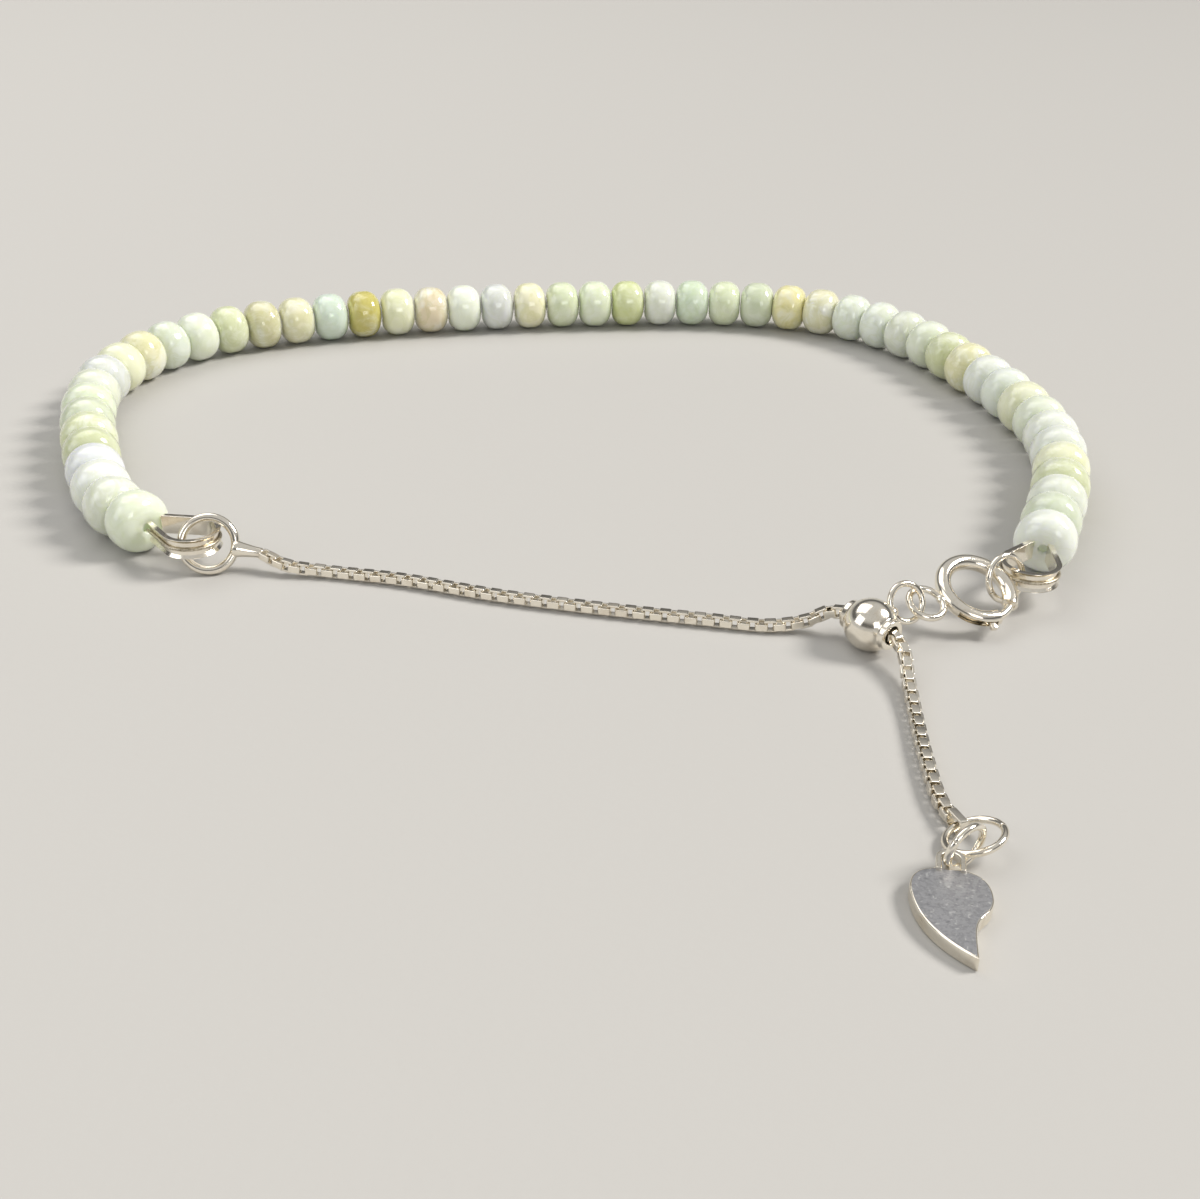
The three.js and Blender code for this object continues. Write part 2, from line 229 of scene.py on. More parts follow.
def settle(thing: Thing, matrix: Matrix = Matrix()) -> Thing:
    """Moves an object and puts its whole place into its mesh.

    Args:
        thing: the object.
        matrix: how it moves, from where it is.

    Returns:
        The same object.
    """
    select(thing)
    thing.matrix_world = matrix @ thing.matrix_basis
    bpy.ops.object.transform_apply(location=True, rotation=True, scale=True)
    return thing


@contextmanager
def editing(thing: Thing) -> Iterator[None]:
    """Opens an object's mesh for editing, with everything selected.

    Args:
        thing: the object.

    Returns:
        The time that the mesh is open, for a with block.
    """
    select(thing)
    bpy.ops.object.mode_set(mode="EDIT")
    bpy.ops.mesh.select_all(action="SELECT")
    yield
    bpy.ops.object.mode_set(mode="OBJECT")


def pick(part: Part, test: Callable[[Any], bool]) -> None:
    """Selects parts of the mesh in edit mode.

    Args:
        part: which parts.
        test: says whether one of them is wanted.
    """
    bpy.ops.mesh.select_mode(type=part.value)
    bpy.ops.mesh.select_all(action="DESELECT")
    mesh = bpy.context.active_object.data
    work = bmesh.from_edit_mesh(mesh)
    work.normal_update()
    for one in [one for one in getattr(work, part.name.lower()) if test(one)]:
        one.select_set(True)
    bmesh.update_edit_mesh(mesh)


def close_up() -> None:
    """Merges doubles and turns the normals of the mesh in edit mode outwards."""
    bpy.ops.mesh.select_all(action="SELECT")
    bpy.ops.mesh.remove_doubles(threshold=0.0005)
    bpy.ops.mesh.normals_make_consistent(inside=False)


def pull(by: Point) -> None:
    """Extrudes what is selected in edit mode."""
    bpy.ops.mesh.extrude_region_move(TRANSFORM_OT_translate={"value": by})


def sweep(steps: int, degrees: float, centre: Point = (0, 0, 0)) -> None:
    """Spins what is selected in edit mode round Z, anticlockwise for positive degrees."""
    bpy.ops.mesh.spin(steps=steps, angle=-math.radians(degrees), center=centre, axis=UP)


def modify(thing: Thing, kind: str, **settings: Any) -> Thing:
    """Adds a modifier and applies it.

    Args:
        thing: the object.
        kind: the modifier's type.
        settings: its own properties.

    Returns:
        The same object.
    """
    select(thing)
    modifier = thing.modifiers.new(kind.title(), kind)
    for name, value in settings.items():
        setattr(modifier, name, value)
    bpy.ops.object.modifier_apply(modifier=modifier.name)
    return thing


def soften(thing: Thing, width: float, segments: int = 3, degrees: float = 50) -> Thing:
    """Rounds the sharp edges and shades the rest smooth.

    Args:
        thing: the object.
        width: how wide the rounding is, in millimetres.
        segments: how many faces round each edge.
        degrees: how sharp an edge has to be.

    Returns:
        The same object.
    """
    modify(
        thing, "BEVEL", width=width, segments=segments, limit_method="ANGLE",
        angle_limit=math.radians(degrees))
    return smooth(thing)


def smooth(thing: Thing, degrees: float = 40) -> Thing:
    """Shades a mesh smooth, apart from its sharp edges.

    Args:
        thing: the object.
        degrees: how sharp an edge has to be.

    Returns:
        The same object.
    """
    select(thing)
    bpy.ops.object.shade_smooth_by_angle(angle=math.radians(degrees))
    return thing


def keep_flats(thing: Thing) -> Thing:
    """Shades the flat faces flat, and only the roundings between them round."""
    return modify(thing, "WEIGHTED_NORMAL", keep_sharp=True)


def copy_of(thing: Thing, matrix: Matrix) -> Thing:
    """Copies an object, with a mesh of its own.

    Args:
        thing: the object.
        matrix: where the copy is set.

    Returns:
        The copy.
    """
    twin = thing.copy()
    twin.data = thing.data.copy()
    bpy.context.collection.objects.link(twin)
    twin.matrix_world = matrix
    return twin


def join(things: Sequence[Thing]) -> Thing:
    """Joins objects into one, with its whole place in its mesh.

    Args:
        things: the objects.

    Returns:
        The first one, which now holds them all.
    """
    select(*things)
    bpy.ops.object.transform_apply(location=True, rotation=True, scale=True)
    bpy.ops.object.join()
    return things[0]


def discard(*things: Thing) -> None:
    """Deletes objects that were only patterns or cutters."""
    select(*things)
    bpy.ops.object.delete()


def bent_bar(
    radius: float, wire: float, start: float, turn: float, sides: int, steps: int,
) -> Thing:
    """Bends a round bar along part of a circle in the XY plane, with a flat cap at each end.

    Args:
        radius: of the circle, to the bar's middle.
        wire: the bar's own radius.
        start: the angle of the first cap, in degrees.
        turn: how far it goes round, in degrees; negative for clockwise.
        sides: faces round the bar.
        steps: stretches along it.

    Returns:
        The bar.
    """
    bar = upright_face("circle", towards(start) * radius, start, vertices=sides, radius=wire)
    with editing(bar):
        sweep(steps, turn)
        close_up()
    return bar


def solder_drop(centre: Point, size: Point) -> Thing:
    """Makes a small, squashed and slightly uneven drop of solder.

    Args:
        centre: its middle.
        size: its half sizes.

    Returns:
        The drop.
    """
    drop = begin(
        bpy.ops.mesh.primitive_ico_sphere_add, size, subdivisions=3, radius=1, location=centre)
    with editing(drop):
        bpy.ops.transform.vertex_random(offset=min(size) * 0.05, seed=3)
    return smooth(drop, degrees=80)


# --- Shader maths ---


class Wire:
    """A node's output that is worked with like a number."""

    def __init__(self, graph: Graph, socket: bpy.types.NodeSocket) -> None:
        """Holds the socket and the graph that it belongs to."""
        self.graph = graph
        self.socket = socket

    def _maths(self, operation: str, first: Wire | float, second: Wire | float) -> Wire:
        """Adds one Math node."""
        return self.graph.node("Math", 0, {0: first, 1: second}, operation=operation)

    def __add__(self, other: Wire | float) -> Wire:
        """The sum."""
        return self._maths("ADD", self, other)

    def __sub__(self, other: Wire | float) -> Wire:
        """The difference."""
        return self._maths("SUBTRACT", self, other)

    def __rsub__(self, other: float) -> Wire:
        """The difference, the other way round."""
        return self._maths("SUBTRACT", other, self)

    def __mul__(self, other: Wire | float) -> Wire:
        """The product."""
        return self._maths("MULTIPLY", self, other)

    def __abs__(self) -> Wire:
        """The size without its sign."""
        return self._maths("ABSOLUTE", self, 0.0)

    __radd__ = __add__
    __rmul__ = __mul__

    def between(self, low: float, high: float) -> Wire:
        """Makes a mask.

        Args:
            low: where it leaves 0.
            high: where it gets to 1, after a smooth step.

        Returns:
            The mask.
        """
        inputs = {"Value": self, "From Min": low, "From Max": high}
        return self.graph.node("MapRange", "Result", inputs, interpolation_type="SMOOTHSTEP")

    def lines(self) -> Wire:
        """Gives 1 where the value is a half and 0 at its ends, so that noise turns into lines."""
        return 1 - abs(self * 2 - 1)


class Graph:
    """The nodes that paint a material, or light the room."""

    def __init__(self, owner: Material | bpy.types.World) -> None:
        """Turns the nodes on and finds the shader that they end in.

        Args:
            owner: the new material or world.
        """
        owner.use_nodes = True
        self.owner = owner
        self.tree = owner.node_tree
        shaders = ("BSDF_PRINCIPLED", "BACKGROUND")
        self.shader = next(n for n in self.tree.nodes if n.type in shaders)

    def node(
        self, kind: str, output: str | int, inputs: dict[str | int, Any] | None = None,
        **settings: Any,
    ) -> Wire:
        """Adds a node.

        Args:
            kind: the node's type, after "ShaderNode".
            output: which of its outputs is wanted.
            inputs: what each socket holds, a value or a Wire.
            settings: its own properties, set before its sockets.

        Returns:
            The output.
        """
        made = self.tree.nodes.new(f"ShaderNode{kind}")
        for name, value in settings.items():
            setattr(made, name, value)
        for key, value in (inputs or {}).items():
            self._feed(made.inputs[key], value)
        return Wire(self, made.outputs[output])

    def _feed(self, socket: bpy.types.NodeSocket, value: Any) -> None:
        """Links a socket or sets it.

        Args:
            socket: the socket.
            value: a Wire, or a plain value.
        """
        if isinstance(value, Wire):
            self.tree.links.new(value.socket, socket)
        else:
            socket.default_value = value

    def attribute(self, name: str, output: str) -> Wire:
        """Gives a value that the mesh carries."""
        return self.node("Attribute", output, attribute_name=name)

    def noise(
        self, per_mm: float, detail: float = 3, roughness: float = 0.5, distortion: float = 0,
    ) -> Wire:
        """Gives soft noise from 0 to 1.

        Args:
            per_mm: about how many blotches to a millimetre.
            detail: how many finer layers.
            roughness: how strong those are.
            distortion: how much it swirls.

        Returns:
            The noise.
        """
        return self.node("TexNoise", "Fac", {
            "Vector": self.node("TexCoord", "Object"), "Scale": per_mm / METRES,
            "Detail": detail, "Roughness": roughness, "Distortion": distortion})

    def blend(self, share: Wire | float, first: Any, second: Any, how: str = "MIX") -> Wire:
        """Blends two colours.

        Args:
            share: how much of the second one.
            first: a colour or a Wire.
            second: a colour or a Wire.
            how: the kind of blend.

        Returns:
            The blended colour.
        """
        inputs = {0: share, 6: first, 7: second}
        return self.node("Mix", 2, inputs, data_type="RGBA", blend_type=how)

    def bump(self, height: Wire, depth: float) -> Wire:
        """Gives a normal that rises and falls with a height, from 0 to a depth in millimetres."""
        return self.node("Bump", "Normal", {"Distance": depth * METRES, "Height": height})

    def finish(self, **inputs: Any) -> Any:
        """Feeds the shader.

        Args:
            inputs: what each socket holds, by its name with underscores.

        Returns:
            The finished material or world.
        """
        for name, value in inputs.items():
            socket = name.replace("_", " ").title().replace("Ior", "IOR")
            self._feed(self.shader.inputs[socket], value)
        return self.owner


def colour(*seen: float) -> Tone:
    """Turns a colour as it is seen into the shader's linear numbers.

    Args:
        seen: red, green and blue, from 0 to 255.

    Returns:
        The colour, with its alpha.
    """
    shares = (value / 255 for value in seen)
    linear = (s / 12.92 if s <= 0.04045 else ((s + 0.055) / 1.055) ** 2.4 for s in shares)
    return *linear, 1.0


# --- Finishes ---


class Stone(Enum):
    """The colours of the polished stones."""

    WHITE = (226, 230, 222)
    LAVENDER_WHITE = (217, 220, 221)
    GREEN_WHITE = (226, 232, 220)
    PALE_GREEN = (219, 226, 211)
    LIGHT_GREEN = (216, 224, 198)
    MINT = (208, 221, 203)
    GREY_GREEN = (212, 219, 198)
    YELLOW_GREEN = (211, 216, 185)
    LIME = (209, 216, 160)
    PALE_YELLOW = (230, 232, 200)
    YELLOW = (226, 220, 170)
    CREAM = (229, 226, 196)
    PEACH = (230, 218, 194)
    KHAKI = (214, 211, 173)
    AMBER = (202, 193, 118)


@dataclass(frozen=True)
class PolishedStone:
    """Slightly see-through polished stone with soft clouds and thin veins, tinted bead by bead."""

    milk: Tone = colour(232, 235, 227)
    depth: Tone = (0.84, 0.86, 0.66, 1)
    clouds_per_mm: float = 0.42
    veins_per_mm: float = 0.5
    patches_per_mm: float = 0.3
    wear_per_mm: float = 2.2
    waves_per_mm: float = 0.7
    cloudiness: float = 0.75
    veining: float = 0.5
    patchiness: float = 0.45
    gloss: float = 0.08
    wear: float = 0.1

    def paint(self, g: Graph) -> None:
        """Paints the material.

        Args:
            g: its nodes.
        """
        tint, murk = g.attribute("tint", "Color"), g.attribute("murk", "Fac")
        clouds = g.noise(self.clouds_per_mm, 4, 0.55, 0.4).between(0.42, 0.68)
        veins = g.noise(self.veins_per_mm, 5, 0.6, 1.2).lines().between(0.82, 1.0)
        patches = g.noise(self.patches_per_mm, 2, 0.5, 0.3).between(0.55, 0.75)
        deeper = g.blend(1.0, tint, self.depth, "MULTIPLY")
        base = g.blend(clouds * murk * self.cloudiness, tint, self.milk)
        base = g.blend(veins * murk * self.veining, base, deeper)
        g.finish(
            base_color=g.blend(patches * murk * self.patchiness, base, deeper),
            roughness=g.noise(self.wear_per_mm, 3, 0.6) * self.wear + self.gloss,
            normal=g.bump(g.noise(self.waves_per_mm, 2, 0.5), 0.02),
            ior=1.62,
            subsurface_weight=0.7,
            subsurface_radius=(1.0, 1.0, 0.8),
            subsurface_scale=0.0016,
            coat_weight=0.4,
            coat_roughness=0.05)


@dataclass(frozen=True)
class PolishedSilver:
    """Bright silver, a little warm, with the small scratches and dulling of wear."""

    tone: Tone = colour(249, 243, 230)
    dull: Tone = colour(190, 168, 132)
    gloss: float = 0.08

    def paint(self, g: Graph) -> None:
        """Paints the material.

        Args:
            g: its nodes.
        """
        haze = g.noise(0.9, 4, 0.6, 0.5).between(0.45, 0.78)
        scratches = g.noise(3.1, 4, 0.7, 2.2).lines().between(0.9, 1.0)
        grain = g.noise(9, 5, 0.75, 1.5) * 0.4 + g.noise(1.3, 2) * 0.6
        g.finish(
            base_color=g.blend(haze * 0.3 + scratches * 0.12, self.tone, self.dull),
            metallic=1.0,
            roughness=haze * 0.12 + scratches * 0.1 + self.gloss,
            normal=g.bump(grain, 0.005))


@dataclass(frozen=True)
class SatinSilver:
    """Greyer brushed silver with a fine speckle, as on the tag's flat faces, and painted glints:
    light specks of painted highlight in its colour.
    """

    tone: Tone = colour(179, 179, 182)
    dull: Tone = colour(118, 119, 121)
    # the colour of the painted glints, light specks of painted highlight
    painted_glint_tone: Tone = colour(228, 228, 226)
    gloss: float = 0.42

    def paint(self, g: Graph) -> None:
        """Paints the material.

        Args:
            g: its nodes.
        """
        speckle = g.noise(4.5, 3, 0.7).between(0.42, 0.62)
        smear = g.noise(0.8, 3, 0.6, 0.8)
        pits = g.noise(2.6, 2, 0.5).between(0.6, 0.7)
        # painted glints: small specks of painted highlight, lighter than the face
        painted_glints = g.noise(3.7, 2, 0.6, 0.5).between(0.6, 0.68)
        base = g.blend(speckle * 0.36 + smear * 0.25 + pits * 0.2, self.tone, self.dull)
        g.finish(
            base_color=g.blend(painted_glints * 0.5, base, self.painted_glint_tone),
            metallic=1.0,
            roughness=smear * 0.14 + speckle * 0.06 + self.gloss,
            normal=g.bump(speckle * 0.7 - pits * 0.6, 0.004))


@dataclass(frozen=True)
class BeadingWire:
    """Fine twisted beading wire, a little duller than the silver."""

    tone: Tone = colour(214, 206, 188)
    shade: Tone = colour(140, 128, 104)
    gloss: float = 0.22

    def paint(self, g: Graph) -> None:
        """Paints the material.

        Args:
            g: its nodes.
        """
        strands = g.noise(9, 3, 0.7, 0.6)
        g.finish(
            base_color=g.blend(strands.between(0.35, 0.7), self.tone, self.shade),
            metallic=0.9,
            roughness=strands * 0.2 + self.gloss,
            normal=g.bump(strands, 0.01))


@dataclass(frozen=True)
class PaleFloor:
    """A plain matt sheet of pale studio paper."""

    tone: Tone = colour(184, 182, 178)

    def paint(self, g: Graph) -> None:
        """Paints the material.

        Args:
            g: its nodes.
        """
        tooth = g.bump(g.noise(1.5, 2, 0.5), 0.01)
        g.finish(base_color=self.tone, roughness=0.75, normal=tooth)


class Finish(Enum):
    """The bracelet's finishes, and the floor's."""

    POLISHED_STONE = PolishedStone()
    POLISHED_SILVER = PolishedSilver()
    SATIN_SILVER = SatinSilver()
    BEADING_WIRE = BeadingWire()
    PALE_FLOOR = PaleFloor()

    def material(self) -> Material:
        """Gives the finish's material, painted when it is first asked for.

        Returns:
            The material.
        """
        material = bpy.data.materials.get(self.name.lower())
        if material is None:
            material = bpy.data.materials.new(self.name.lower())
            self.value.paint(Graph(material))
        return material


def set_down(
    thing: Thing, name: str, node: str = "", looks: Sequence[Finish] = (Finish.POLISHED_SILVER,),
    body: str = "root",
) -> None:
    """Scales a finished piece to metres, dresses it and hands it to its body.

    Args:
        thing: the piece, in millimetres in the layout's frame.
        name: what it is called.
        node: the solid that it is shown instead of, if any.
        looks: its finishes, the first of them on every face.
        body: the body that it moves with.
    """
    settle(thing, Matrix.Scale(METRES, 4) @ Matrix.Translation(SHIFT))
    thing.name = thing.data.name = name
    thing.data.materials.clear()
    for look in looks:
        thing.data.materials.append(look.material())
    faces = thing.data.polygons
    faces.foreach_set("material_index", [0] * len(faces))
    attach(thing, body)
    if node:
        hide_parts(node)
    triangles = sum(len(face.vertices) - 2 for face in faces)
    log.info("%s: %d triangles, in place of %s", name, triangles, node or "nothing")


# --- Beads ---

STRING_ORDER = tuple(Stone[name] for name in """
    PALE_GREEN WHITE WHITE LAVENDER_WHITE YELLOW_GREEN YELLOW_GREEN GREY_GREEN LIGHT_GREEN WHITE
    LAVENDER_WHITE PALE_YELLOW CREAM PALE_GREEN GREEN_WHITE YELLOW_GREEN KHAKI CREAM MINT AMBER
    PALE_YELLOW PEACH GREEN_WHITE LAVENDER_WHITE CREAM LIGHT_GREEN LIGHT_GREEN LIME WHITE MINT
    LIGHT_GREEN LIGHT_GREEN YELLOW CREAM GREEN_WHITE GREEN_WHITE WHITE GREEN_WHITE YELLOW_GREEN
    CREAM WHITE GREEN_WHITE PALE_YELLOW GREEN_WHITE WHITE WHITE PALE_YELLOW YELLOW_GREEN WHITE
    PALE_GREEN WHITE""".split())
MURKY = (Stone.CREAM, Stone.KHAKI, Stone.AMBER, Stone.PEACH, Stone.YELLOW_GREEN, Stone.YELLOW)


@dataclass
class BeadString:
    """The string of polished beads, drilled through."""

    radius: float = 2.125
    half_thickness: float = 1.5
    rounding: float = 1.28
    hole_radius: float = 0.42
    hole_edge: float = 0.05
    hole_taper: float = 0.01
    hole_depth: float = 0.45
    sides: int = 44
    route: Sequence[Point] = (
        (-28.2, -5.5), (-30.3, -3.4), (-32.2, -0.3), (-35, 6.5), (-37.5, 14.5), (-38, 21),
        (-36, 27.5), (-31.5, 32.8), (-25, 36.4), (-17, 39.2), (-7, 41.5), (4, 43.2),
        (13, 43.9), (20.5, 43), (26.6, 40), (31, 35), (33.9, 28.8), (36.2, 22),
        (37.6, 15), (37.4, 9), (36, 3), (32.8, -5.6),
    )
    curve: Route = field(init=False)

    def __post_init__(self) -> None:
        """Lays the string's curve at the beads' own height."""
        self.curve = Route([(x, y, self.radius) for x, y in self.route])

    def pattern_bead(self) -> Thing:
        """Turns one bead: a thick round with a full soft rim and a drilled hole at each end.

        Returns:
            The bead, with its hole along Z.
        """
        bead = begin(
            bpy.ops.mesh.primitive_cylinder_add, vertices=self.sides, radius=self.radius,
            depth=self.half_thickness * 2, end_fill_type="NGON")
        flat = self.radius - self.rounding - self.hole_radius
        with editing(bead):
            pick(Part.EDGES, lambda e: abs(e.verts[0].co.z + e.verts[1].co.z) > 1)
            bpy.ops.mesh.bevel(offset=self.rounding, segments=9, profile=0.5, affect="EDGES")
            pick(Part.FACES, lambda f: len(f.verts) > 4)
            for inwards, down in (
                (flat, 0), (self.hole_edge, self.hole_edge), (self.hole_taper, self.hole_depth),
            ):
                bpy.ops.mesh.inset(thickness=inwards, depth=-down, use_individual=True)
            close_up()
        return smooth(bead, degrees=60)

    def build(self) -> None:
        """Strings the beads, each a little different, one against the next."""
        rng = random.Random(50)
        pattern = self.pattern_bead()
        beads = []
        step = self.curve.length / (len(STRING_ORDER) - 1)
        for k, stone in enumerate(STRING_ORDER):
            tilt = turned(rng.uniform(-1.6, 1.6), "X")
            roll = Matrix.Rotation(rng.uniform(0, math.tau), 4, "Z")
            wide, thick = rng.uniform(0.975, 1.0), rng.uniform(0.97, 1.02)
            size = Matrix.Diagonal((wide, wide * rng.uniform(0.985, 1.0), thick, 1))
            bead = copy_of(pattern, facing(*self.curve.at(step * k)) @ tilt @ roll @ size)
            self.tint(bead, stone, rng)
            beads.append(bead)
        discard(pattern)
        set_down(
            join(beads), "beads", "bead_string", [Finish.POLISHED_STONE])

    @staticmethod
    def tint(bead: Thing, stone: Stone, rng: random.Random) -> None:
        """Gives a bead its own colour and cloudiness, which the stone's material reads.

        Args:
            bead: the bead.
            stone: its kind.
            rng: where its chances come from.
        """
        shift = rng.uniform(-7, 7)
        red, green, blue = (v + shift for v in stone.value)
        tint = colour(red, green, blue + rng.uniform(-6, 6))
        murk = rng.uniform(0.75, 1.0) if stone in MURKY else rng.uniform(0.3, 0.7)
        points = len(bead.data.vertices)
        colours = bead.data.attributes.new("tint", "FLOAT_COLOR", "POINT")
        colours.data.foreach_set("color", list(tint) * points)
        cloudy = bead.data.attributes.new("murk", "FLOAT", "POINT")
        cloudy.data.foreach_set("value", [murk] * points)


# --- Thread guards ---


@dataclass
class ThreadGuard:
    """A silver horseshoe channel with two raised rims, which carries the end loop of the wire."""

    length: float = 5
    bend: float = 1.7
    leg_spread: float = 0.55
    leg_steps: int = 4
    width: float = 1.3
    inner: float = -0.13
    floor: float = 0.07
    rim: float = 0.27
    rim_width: float = 0.22
    trim: float = 0.6
    edge: float = 0.05
    gap: float = 0.26
    wire: float = 0.1
    wire_past_leg: float = 0.15

    @property
    def bend_centre(self) -> float:
        """How far the middle of the bend is from the legs' ends."""
        return self.length - self.rim - self.bend

    @property
    def to_leg(self) -> float:
        """How far the middle of the bend is from the end of a leg."""
        return math.hypot(self.bend_centre, self.leg_spread)

    @property
    def turn(self) -> float:
        """How far the bend goes round to each side, in degrees."""
        to_end = math.atan2(self.leg_spread, -self.bend_centre)
        return math.degrees(to_end - math.acos(self.bend / self.to_leg))

    def half(self, section: Thing, extra: float, steps: int) -> Thing:
        """Sweeps a section from the far end of the bend along one leg and mirrors it.

        Args:
            section: a flat face across the band at the far end of the bend.
            extra: how much further than its end the leg goes.
            steps: stretches round the half bend.

        Returns:
            The whole horseshoe.
        """
        leg = math.sqrt(self.to_leg ** 2 - self.bend ** 2) + extra
        with editing(section):
            sweep(steps, self.turn, (self.bend_centre, 0, 0))
            for _ in range(self.leg_steps):
                pull(towards(self.turn + 90) * (leg / self.leg_steps))
            pick(Part.FACES, lambda f: abs(f.calc_center_median().y) < 1e-4)
            bpy.ops.mesh.delete(type="FACE")
        modify(
            section, "MIRROR", use_axis=(False, True, False), use_clip=True, merge_threshold=0.001)
        with editing(section):
            close_up()
        return section

    def is_outside(self, face: bmesh.types.BMFace, near: float = 0.05) -> bool:
        """Says whether a face is on the band's outer side, before its channel is sunk.

        Args:
            face: the face.
            near: how close its middle is to the outer side, in millimetres.

        Returns:
            Whether it is.
        """
        spot = face.calc_center_median() - Vector((self.bend_centre, 0, 0))
        out = towards(math.copysign(self.turn, spot.y))
        reach = self.bend + self.rim
        facing_out = spot.dot(face.normal)
        on_leg = face.normal.dot(out) > FLAT and abs(spot.dot(out) - reach) < near
        on_bend = facing_out > reach * 0.92 and abs(spot.length - reach) < near
        return facing_out > 0 and abs(face.normal.z) < 0.2 and (on_leg or on_bend)

    def band(self) -> Thing:
        """Bends the band, sinks its channel and cuts the legs' ends.

        Returns:
            The band, pointing along X from its legs' ends.
        """
        middle = Vector((self.bend_centre + self.bend + (self.rim + self.inner) / 2, 0, 0))
        band = upright_face("plane", middle, stretch=(self.rim - self.inner, self.width, 1))
        self.half(band, self.trim, steps=30)
        with editing(band):
            pick(Part.FACES, self.is_outside)
            bpy.ops.mesh.inset(thickness=self.rim_width, use_boundary=True)
            bpy.ops.transform.shrink_fatten(value=self.floor - self.rim)
            bpy.ops.mesh.select_all(action="SELECT")
            bpy.ops.mesh.bisect(
                plane_co=(0, 0, 0), plane_no=(1, 0, 0), use_fill=True, clear_inner=True)
            close_up()
        return keep_flats(soften(band, self.edge))

    def wire_loop(self) -> Thing:
        """Lays the wire's loop in the channel.

        Returns:
            The loop, in the band's place.
        """
        middle = Vector((self.bend_centre + self.bend + self.floor + self.wire, 0, 0))
        loop = upright_face("circle", middle, vertices=12, radius=self.wire)
        return smooth(self.half(loop, self.wire_past_leg, steps=24), degrees=60)

    def build(self, node: str, bead: Vector, half_bead: float, heading: float) -> None:
        """Makes the guard and its loop of wire and stands them at a bead.

        Args:
            node: the solid that the guard stands for.
            bead: the middle of the bead beside it.
            half_bead: half that bead's thickness.
            heading: which way the guard points, in degrees from +X.
        """
        out = towards(heading)
        seat = basis(out, UP.cross(out), UP, bead + out * (half_bead + self.gap))
        set_down(settle(self.band(), seat), f"{node}_band", node)
        set_down(settle(self.wire_loop(), seat), f"{node}_loop", looks=[Finish.BEADING_WIRE])


# --- Rings ---


@dataclass(frozen=True)
class WireRing:
    """A ring bent from round wire."""

    radius: float
    wire: float
    slit: float = 0.05
    end_edge: float = 0.12
    unevenness: float = 0.012
    sides: int = 20
    steps: int = 72

    def open_ring(self, seam: float) -> Thing:
        """Bends the ring with its two ends butted, a hair apart.

        Args:
            seam: where the ends meet, in degrees.

        Returns:
            The ring, flat in the XY plane.
        """
        turn = 360 - math.degrees(self.slit / self.radius)
        ring = bent_bar(self.radius, self.wire, seam, turn, self.sides, self.steps)
        return soften(ring, self.wire * self.end_edge, segments=2, degrees=60)

    def closed_ring(self) -> Thing:
        """Bends the ring and closes its seam.

        Returns:
            The ring, flat in the XY plane, and as slightly uneven as a soldered one.
        """
        ring = begin(
            bpy.ops.mesh.primitive_torus_add, major_radius=self.radius, minor_radius=self.wire,
            major_segments=self.steps, minor_segments=self.sides)
        with editing(ring):
            bpy.ops.transform.vertex_random(offset=self.wire * self.unevenness, seed=5)
        return smooth(ring, degrees=80)


# --- Chain ---


